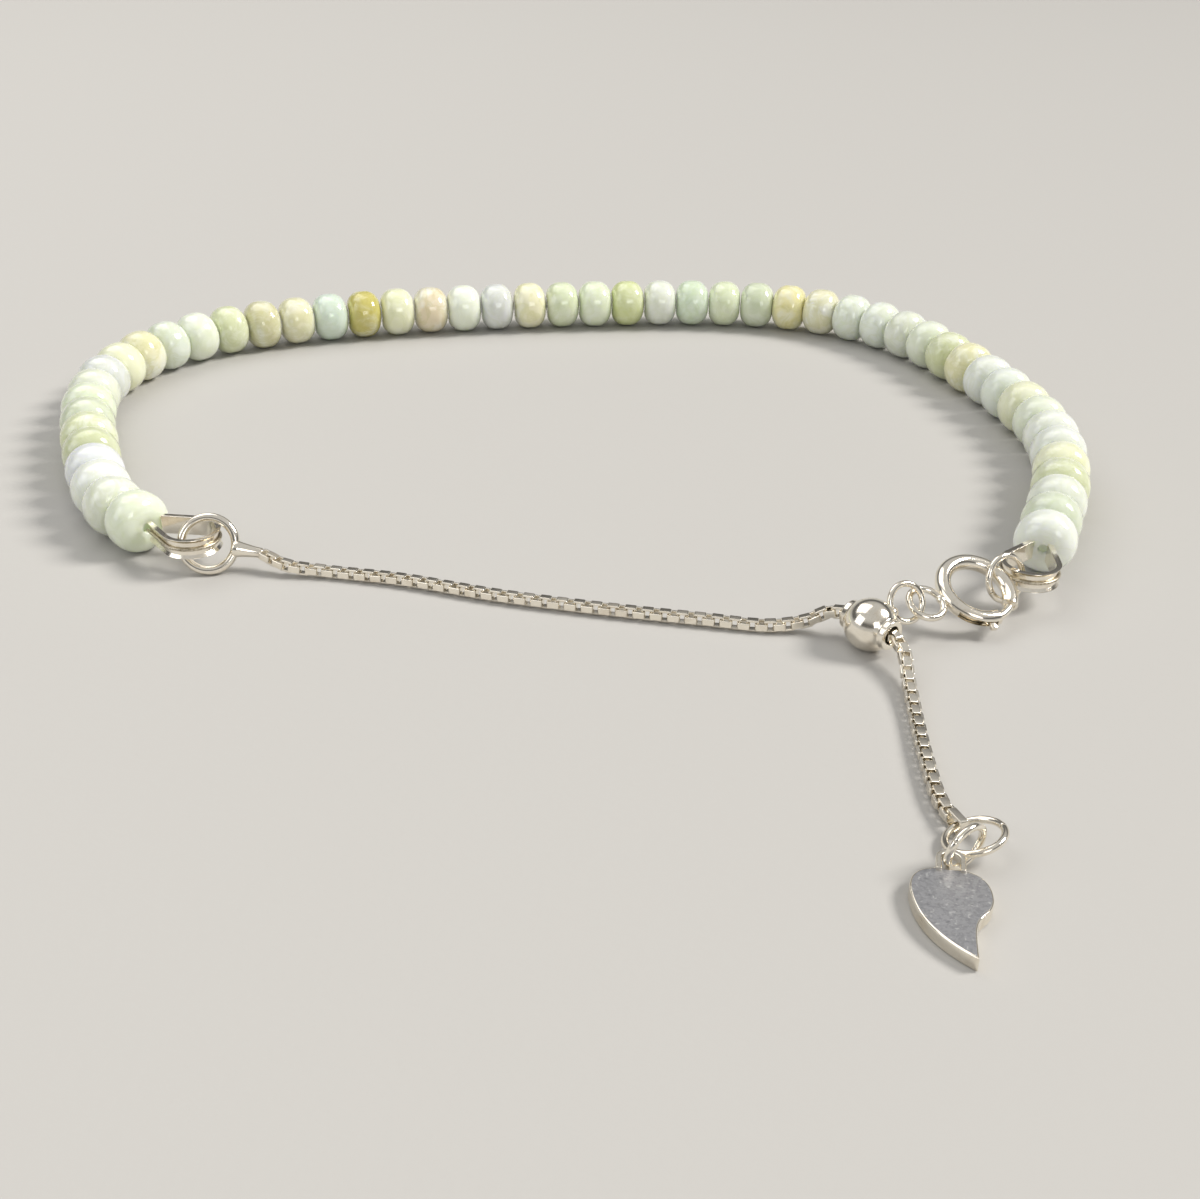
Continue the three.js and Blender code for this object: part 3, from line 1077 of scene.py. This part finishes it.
@dataclass
class BoxChain:
    """The box chain, its long last link, and the ring with the tapered neck that it starts from."""

    pitch: float = 0.55
    length: float = 0.82
    height: float = 0.8
    width: float = 0.45
    strip: float = 0.15
    corner: float = 0.13
    edge: float = 0.03
    end_length: float = 1.35
    end_height: float = 1.0
    end_lift: float = 0.06
    play: float = 0.07
    wobble: float = 2.5
    lie: float = 0.47
    ring: WireRing = WireRing(1.75, 0.3)
    ring_centre: Point = (-22.8, -8.1, 1.85)
    ring_normal: Point = (0.1, -0.86, 0.5)
    neck_heading: float = -12
    neck_reach: float = 3.55
    neck_thick: float = 0.62
    neck_thin: float = 0.34
    neck_flare: float = 1.6
    neck_root: float = 0.82
    neck_sunk: float = 0.45
    neck_edge: float = 0.06
    neck_steps: int = 10
    curve: Route = field(init=False)
    neck_axis: Vector = field(init=False)
    last: int = field(init=False)

    def __post_init__(self) -> None:
        """Lays the chain's curve from the neck's tip to the tag."""
        across, rise = level_axes(Vector(self.ring_normal).normalized())
        along = towards(self.neck_heading)
        self.neck_axis = across * along.x + rise * along.y
        tip = Vector(self.ring_centre) + self.neck_axis * (self.neck_reach - self.strip)
        low = self.lie
        self.curve = Route([
            tip, (-17.6, -8.8, 0.75), (-15, -9, low), (-10, -9.9, low), (-3.5, -11.8, low),
            (3, -13.2, low), (9.5, -14.3, low), (13.6, -14.9, low), (15.8, -14.8, 0.8),
            (17.2, -14.7, 1.4), (18.4, -15.3, 1.65), (19.5, -16.6, 1.65), (20.6, -17.9, 1.65),
            (21.1, -19.2, 1.35), (21.1, -21.2, 0.75), (21, -24, low), (20.8, -29, low),
            (20.9, -33, low), (21.6, -35.4, self.end_height / 2 + self.end_lift),
        ])
        self.last = math.floor((self.curve.length - self.end_length) / self.pitch)

    def pattern_link(self, length: float, height: float) -> Thing:
        """Folds one square link from flat strip, with rounded corners.

        Args:
            length: along the chain.
            height: across it.

        Returns:
            The link, open along Z.
        """
        link = begin(bpy.ops.mesh.primitive_cube_add, (length, height, self.width), size=1)
        end = length / 2 - self.strip / 2
        with editing(link):
            pick(Part.FACES, lambda f: abs(f.normal.z) > FLAT)
            bpy.ops.mesh.inset(thickness=self.strip, use_individual=True)
            bpy.ops.mesh.bridge_edge_loops()
            pick(Part.EDGES, lambda e: all(abs(v.co.x) > end for v in e.verts)
                       and abs(e.verts[0].co.z - e.verts[1].co.z) > self.width / 2)
            bpy.ops.mesh.bevel(offset=self.corner, segments=3, profile=0.5, affect="EDGES")
            close_up()
        return keep_flats(soften(link, self.edge, segments=2))

    def seat(self, k: int) -> Matrix:
        """Finds a link's place; every second link stands, open to both sides.

        Args:
            k: the link's number, from 0.

        Returns:
            Its matrix.
        """
        size = self.end_length if k == self.last else self.length
        play = 0 if k else self.play
        centre, along = self.curve.at(k * self.pitch + size / 2 + play)
        across, rise = level_axes(along)
        if (self.last - k) % 2 == 0:
            across, rise = rise, -across
        return basis(along, across, rise, centre)

    def build(self) -> None:
        """Links the chain and makes the ring with its neck and the first link."""
        rng = random.Random(8)
        pattern = self.pattern_link(self.length, self.height)
        end = self.pattern_link(self.end_length, self.end_height)
        links = [
            copy_of(pattern, self.seat(k) @ turned(rng.uniform(-self.wobble, self.wobble), "X"))
            for k in range(1, self.last)]
        links.append(copy_of(end, self.seat(self.last)))
        set_down(join(links), "chain_links", "box_chain")
        self.build_end(copy_of(pattern, self.seat(0)))
        discard(pattern, end)

    def build_end(self, first_link: Thing) -> None:
        """Draws the ring out into its neck and solders the first link to the tip.

        Args:
            first_link: the chain's first link, in its place.
        """
        normal = Vector(self.ring_normal).normalized()
        seat = basis(self.neck_axis.cross(normal), self.neck_axis, normal, self.ring_centre)
        root = self.ring.radius - self.ring.wire * (1 - self.neck_sunk)
        reach = self.neck_reach - root
        ring = settle(self.ring.closed_ring(), seat)
        neck = begin(
            bpy.ops.mesh.primitive_cylinder_add, vertices=32, radius=self.neck_thin, depth=reach,
            end_fill_type="NGON", location=(0, root + reach / 2, 0), rotation=(-math.pi / 2, 0, 0))
        with editing(neck):
            pick(Part.EDGES, lambda e: abs(e.verts[0].co.y - e.verts[1].co.y) > reach / 2)
            bpy.ops.mesh.subdivide(number_cuts=self.neck_steps - 1)
            for step in range(self.neck_steps + 1):
                level = root + reach * step / self.neck_steps
                flare = (1 - step / self.neck_steps) ** self.neck_flare
                grow = 1 + (self.neck_thick / self.neck_thin - 1) * flare
                grow *= self.neck_root if step == 0 else 1
                pick(Part.VERTS, lambda v: abs(v.co.y - level) < 0.01)
                bpy.ops.transform.resize(value=(grow, 1, grow), center_override=(0, level, 0))
            close_up()
        neck = settle(soften(neck, self.neck_edge), seat)
        set_down(join([ring, neck, first_link]), "end_ring_and_neck", "chain_end_ring")


# --- Slider ---


@dataclass
class Slider:
    """The ball that the chain runs through, with a ring soldered to its side."""

    radius: float = 1.65
    bore: float = 0.6
    collar: float = 0.95
    reach: float = 1.72
    edge: float = 0.07
    centre: Point = (19.5, -16.6, 1.65)
    axis: Point = (1.1, -1.3, 0)
    ring: WireRing = WireRing(1.18, 0.2)
    ring_centre: Point = (21.85, -15, 2.35)
    ring_normal: Point = (0.38, -0.78, 0.49)
    drop: Point = (0.46, 0.46, 0.38)
    drop_out: float = 0.02

    def ball(self) -> Thing:
        """Turns the ball with its two short collars and drills it.

        Returns:
            The ball, with its bore along Z.
        """
        ball = begin(
            bpy.ops.mesh.primitive_uv_sphere_add, segments=48, ring_count=36, radius=self.radius)
        cut = math.sqrt(self.radius ** 2 - self.collar ** 2)
        shrink = self.bore / self.collar
        with editing(ball):
            for side in (1, -1):
                bpy.ops.mesh.select_all(action="SELECT")
                bpy.ops.mesh.bisect(
                    plane_co=(0, 0, side * cut), plane_no=(0, 0, side), clear_outer=True)
            for side in (1, -1):
                pick(Part.EDGES, lambda e: e.is_boundary and e.verts[0].co.z * side > 0)
                pull((0, 0, side * (self.reach - cut)))
                pull((0, 0, 0))
                bpy.ops.transform.resize(
                    value=(shrink, shrink, 1), center_override=(0, 0, side * self.reach))
            pick(Part.EDGES, lambda e: e.is_boundary)
            bpy.ops.mesh.bridge_edge_loops()
            close_up()
        return soften(ball, self.edge, degrees=38)

    def build(self) -> None:
        """Makes the ball and its ring and solders them together."""
        centre, axis = Vector(self.centre), Vector(self.axis).normalized()
        ball = settle(self.ball(), basis(axis.cross(UP), -UP, axis, centre))
        ring = settle(self.ring.closed_ring(), facing(self.ring_centre, self.ring_normal))
        to_ring = (Vector(self.ring_centre) - centre).normalized()
        drop = solder_drop(centre + to_ring * (self.radius + self.drop_out), self.drop)
        set_down(join([ball, ring, drop]), "slider", "slider_ball")


# --- Spring-ring clasp ---


@dataclass
class SpringRing:
    """The spring-ring clasp: a hollow ring with a gap that a sprung bolt shuts."""

    radius: float = 2.25
    tube: float = 0.5
    bore: float = 0.34
    bolt: float = 0.27
    edge: float = 0.035
    bolt_edge: float = 0.07
    lever_edge: float = 0.09
    gap_from: float = -88
    gap_to: float = -48
    travel: float = 40
    hold: float = 24
    bore_slack: float = 10
    blind_end: Point = (0.03, 0.12)
    tip_clearance: float = 2.5
    lever_offset: float = 14
    lever_width: float = 0.34
    lever_length: float = 0.45
    lever_reach: float = 0.85
    slot_width: float = 0.46
    slot_slack: float = 8
    centre: Point = (26.7, -12.7, 2.1)
    heading: Point = (0.88, 0.475, 0)
    tilt: float = 25
    ring: WireRing = WireRing(1.13, 0.225)
    ring_sunk: float = 0.12
    drop: Point = (0.3, 0.42, 0.27)
    drop_out: float = 0.08

    def seat(self) -> Matrix:
        """Finds the clasp's place in the layout.

        Returns:
            Its matrix: X points away from the small ring, and Z is square to the clasp.
        """
        heading = Vector(self.heading).normalized()
        angle = math.radians(self.tilt)
        normal = UP * math.cos(angle) + heading.cross(UP) * math.sin(angle)
        return basis(heading, normal.cross(heading), normal, self.centre)

    def pick_cap(self, degrees: float) -> None:
        """Picks the tube's end at an angle and insets it to the bore.

        Args:
            degrees: the angle, from the clasp's own X.
        """
        spot = towards(degrees) * self.radius
        pick(Part.FACES, lambda face: len(face.verts) > 4
                   and (face.calc_center_median() - spot).length < self.tube / 5)
        bpy.ops.mesh.inset(thickness=self.tube - self.bore)

    def body(self) -> Thing:
        """Bends the tube, bores it from the gap and cuts the lever's slot.

        Returns:
            The tube, on the clasp's own axes.
        """
        turn = self.gap_from + 360 - self.gap_to
        body = bent_bar(self.radius, self.tube, self.gap_to, turn, sides=28, steps=84)
        with editing(body):
            self.pick_cap(self.gap_from)
            sweep(steps=18, degrees=-(self.hold + self.travel + self.bore_slack))
            self.pick_cap(self.gap_to)
            inwards, down = self.blind_end
            bpy.ops.mesh.inset(thickness=inwards, depth=-down)
            close_up()
        cutter = self.slot_cutter()
        modify(body, "BOOLEAN", operation="DIFFERENCE", object=cutter, solver="EXACT")
        discard(cutter)
        return soften(body, self.edge, segments=2)

    def slot_cutter(self) -> Thing:
        """Sweeps the shape of the lever's slot.

        Returns:
            The shape to cut away, from inside the bore to outside the tube.
        """
        first = self.gap_from - self.lever_offset + self.slot_slack
        deep = self.tube * 1.5
        at = towards(first) * (self.radius + deep / 2)
        cutter = upright_face("plane", at, first, (deep, self.slot_width, 1))
        with editing(cutter):
            sweep(steps=16, degrees=-(self.travel + self.slot_slack * 2))
            close_up()
        return cutter

    def bolt_and_lever(self) -> Thing:
        """Bends the bolt, rounds its tip and stands the thumb lever on it.

        Returns:
            The bolt, on the clasp's own axes.
        """
        start = self.gap_to - self.tip_clearance
        turn = self.gap_from - self.hold - start
        pin = bent_bar(self.radius, self.bolt, start, turn, sides=20, steps=28)
        soften(pin, self.bolt_edge, degrees=60)
        degrees = self.gap_from - self.lever_offset
        size = (self.lever_reach, self.lever_length, self.lever_width)
        lever = begin(
            bpy.ops.mesh.primitive_cube_add, size, size=1, rotation=(0, 0, math.radians(degrees)),
            location=towards(degrees) * (self.radius + self.lever_reach / 2))
        return join([pin, soften(lever, self.lever_edge, segments=4, degrees=40)])

    def build(self) -> None:
        """Makes the clasp's body with its small ring, and the bolt that moves."""
        seat = self.seat()
        edge = -self.radius - self.tube
        out = edge - self.ring.radius - self.ring.wire + self.ring_sunk
        ring = settle(self.ring.closed_ring(), Matrix.Translation((out, 0, 0)))
        drop = solder_drop((edge - self.drop_out, 0, 0), self.drop)
        body = settle(join([self.body(), ring, drop]), seat)
        set_down(body, "clasp_ring", "clasp_body")
        bolt = settle(self.bolt_and_lever(), seat)
        set_down(bolt, "bolt_and_lever", "clasp_bolt", body="bolt")


# --- Loose rings and tag ---


@dataclass
class LooseRing:
    """A ring that hangs between two others."""

    node: str
    ring: WireRing
    seam: float
    centre: Point
    normal: Point

    def build(self) -> None:
        """Bends the ring and hooks it in its place."""
        bent = settle(self.ring.open_ring(self.seam), facing(self.centre, self.normal))
        set_down(bent, f"{self.node}_wire", self.node)


LOOSE_RINGS = (
    LooseRing("jump_ring", WireRing(1.45, 0.21), 205, (28.85, -11.2, 2.2), (0.5, -0.81, 0.31)),
    LooseRing("tail_ring", WireRing(1.5, 0.2), 120, (21.9, -36.14, 0.83), (-0.31, 0.12, 0.94)),
    LooseRing("tag_ring", WireRing(1.22, 0.2), 140, (21.02, -37.76, 1.43), (0.6, -0.79, -0.1)),
)


@dataclass
class LeafTag:
    """The thick leaf-shaped plate with the eye that it hangs from."""

    thickness: float = 0.8
    edge: float = 0.1
    turn: float = -9
    eye_outer: float = 0.72
    eye_inner: float = 0.45
    eye_reach: float = 0.6
    eye_sunk: float = 0.25
    eye_bottom: float = 0.52
    eye_top: float = 1
    eye_edge: float = 0.06
    top: Point = (20.23, -38.65, 0)
    outline: Sequence[Sequence[Point]] = (
        ((-0.5, 0), (-0.2, 0), (-1.9, 0)),
        ((-1.95, -2), (-2.1, -1.2), (-1.7, -3.9)),
        ((1.05, -6.2), (-0.6, -5.2), (1.1, -5.4)),
        ((1.25, -3.5), (0.9, -4.3), (1.6, -2.9)),
        ((1.95, -1.7), (2, -2.6), (1.9, -0.7)),
        ((0.5, 0), (1.4, 0), (0.2, 0)),
    )

    def plate(self) -> Thing:
        """Cuts the leaf from thick plate and rounds its rim.

        Returns:
            The plate, hanging down Y from its top edge.
        """
        plate = begin(bpy.ops.curve.primitive_bezier_circle_add, radius=1)
        flat = plate.data
        points = flat.splines[0].bezier_points
        points.add(len(self.outline) - len(points))
        for point, (spot, before, after) in zip(points, self.outline):
            point.handle_left_type = point.handle_right_type = "FREE"
            point.co, point.handle_left, point.handle_right = (*spot, 0), (*before, 0), (*after, 0)
        flat.dimensions = "2D"
        flat.fill_mode = "BOTH"
        flat.resolution_u = 14
        flat.extrude = self.thickness / 2 - self.edge
        flat.bevel_depth = self.edge
        flat.bevel_resolution = 3
        flat.offset = -self.edge
        select(plate)
        bpy.ops.object.convert(target="MESH")
        with editing(plate):
            close_up()
            bpy.ops.mesh.dissolve_limited(angle_limit=math.radians(0.5))
        settle(plate, Matrix.Translation(UP * self.thickness / 2))
        return keep_flats(smooth(plate, degrees=30))

    def eye(self) -> Thing:
        """Bends the flat band of the eye, its two feet on the plate.

        Returns:
            The eye, in the plate's place.
        """
        middle = (self.eye_outer + self.eye_inner) / 2
        rise = self.eye_reach + self.eye_sunk
        foot = Vector((middle, -self.eye_sunk, (self.eye_top + self.eye_bottom) / 2))
        size = (self.eye_outer - self.eye_inner, self.eye_top - self.eye_bottom, 1)
        eye = upright_face("plane", foot, stretch=size)
        with editing(eye):
            pull((0, rise, 0))
            sweep(steps=28, degrees=180, centre=(0, self.eye_reach, 0))
            pull((0, -rise, 0))
            close_up()
        return keep_flats(soften(eye, self.eye_edge, segments=4))

    def build(self) -> None:
        """Solders the plate and the eye together, satin on the flats and bright on the rims."""
        plate, eye = self.plate(), self.eye()
        satin = [int(abs(face.normal.z) > FLAT) for face in plate.data.polygons]
        satin += [0] * len(eye.data.polygons)
        tag = join([plate, eye])
        settle(tag, Matrix.Translation(self.top) @ turned(self.turn, "Z"))
        looks = [Finish.POLISHED_SILVER, Finish.SATIN_SILVER]
        set_down(tag, "tag_and_eye", "leaf_tag", looks)
        tag.data.polygons.foreach_set("material_index", satin)


# --- Studio ---


@dataclass
class Softbox:
    """A square soft light."""

    name: str
    place: Point
    size: float
    power: float
    tone: Sequence[float] = (1, 1, 1)

    def hang(self, kind: str) -> bpy.types.Light:
        """Hangs a light, turned to the bracelet.

        Args:
            kind: its type.

        Returns:
            Its settings.
        """
        select()
        bpy.ops.object.light_add(type=kind, location=self.place)
        light = bpy.context.active_object
        to_bracelet = Vector((0, 0.01, 0)) - Vector(self.place)
        light.rotation_euler = to_bracelet.to_track_quat("-Z", "Y").to_euler()
        light.name = self.name
        light.data.energy = self.power
        light.data.color = self.tone
        return light.data

    def build(self) -> None:
        """Hangs the softbox."""
        light = self.hang("AREA")
        light.size = self.size


@dataclass
class FarWindow(Softbox):
    """A soft light so far off that it lights the floor evenly; its size is an angle in degrees."""

    def build(self) -> None:
        """Opens the window."""
        self.hang("SUN").angle = math.radians(self.size)


@dataclass(frozen=True)
class Room:
    """The light of the room: pale low down, dark along the walls and bright from the ceiling."""

    tone: Tone = (0.95, 0.94, 0.925, 1)
    base: float = 0.44
    low: float = 0.1
    walls: float = 0.32
    ceiling: float = 0.12

    def world(self) -> bpy.types.World:
        """Builds the world.

        Returns:
            A world whose light changes with how far up a direction points, from -1 to 1.
        """
        g = Graph(bpy.data.worlds.new("studio_light"))
        rise = g.node("SeparateXYZ", "Z", {"Vector": g.node("TexCoord", "Generated")})
        low = 1 - rise.between(0.12, 0.22)
        walls = rise.between(0.17, 0.3) - rise.between(0.42, 0.6)
        ceiling = rise.between(0.55, 0.75)
        light = low * self.low - walls * self.walls + ceiling * self.ceiling + self.base
        return g.finish(color=self.tone, strength=light)


@dataclass
class Studio:
    """The floor, the lights and the camera."""

    eye: Point = (3, -96, 47.2)
    elevation: float = 29.1
    roll: float = 1.2
    lens: float = 45.12
    nearest: float = 0.005
    furthest: float = 20
    floor_size: float = 6
    softboxes: tuple[Softbox, ...] = (
        FarWindow("key", (0.27, 0.05, 0.25), 20, 3.0, (1, 0.97, 0.93)),
        Softbox("top", (-0.2, 0.22, 0.45), 0.42, 0.85, (1, 0.99, 0.97)),
        Softbox("fill", (-0.4, -0.15, 0.25), 0.3, 0.45, (0.97, 0.98, 1)),
        Softbox("front", (0.15, -0.42, 0.22), 0.18, 0.3),
    )

    def build(self) -> None:
        """Sets the studio up round the bracelet."""
        floor = begin(bpy.ops.mesh.primitive_plane_add, size=self.floor_size)
        floor.name = "studio_floor"
        floor.data.materials.append(Finish.PALE_FLOOR.material())
        for softbox in self.softboxes:
            softbox.build()
        bpy.context.scene.world = Room().world()
        bpy.context.scene.view_settings.view_transform = "Standard"
        self.camera()

    def camera(self) -> None:
        """Stands the camera where it sees the bracelet from its front, above the floor."""
        bpy.ops.object.camera_add()
        camera = bpy.context.active_object
        camera.name = "view"
        camera.data.lens = self.lens
        camera.data.clip_start = self.nearest
        camera.data.clip_end = self.furthest
        place = Matrix.Translation((Vector(self.eye) + SHIFT) * METRES)
        camera.matrix_world = place @ turned(90 - self.elevation, "X") @ turned(self.roll, "Z")
        bpy.context.scene.camera = camera


# --- The bracelet ---


def main() -> None:
    """Builds the studio and every piece of the bracelet, in order."""
    logging.basicConfig(level=logging.INFO, format="%(name)s: %(message)s")
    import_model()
    Studio().build()
    string, guard = BeadString(), ThreadGuard()
    string.build()
    first, last = string.curve.samples[0], string.curve.samples[-1]
    guard.build("left_thread_guard", first, string.half_thickness, -28)
    guard.build("right_thread_guard", last, string.half_thickness, -116)
    for group in (BoxChain(), Slider(), SpringRing(), *LOOSE_RINGS, LeafTag()):
        group.build()
    select()


if __name__ == "__main__":
    main()
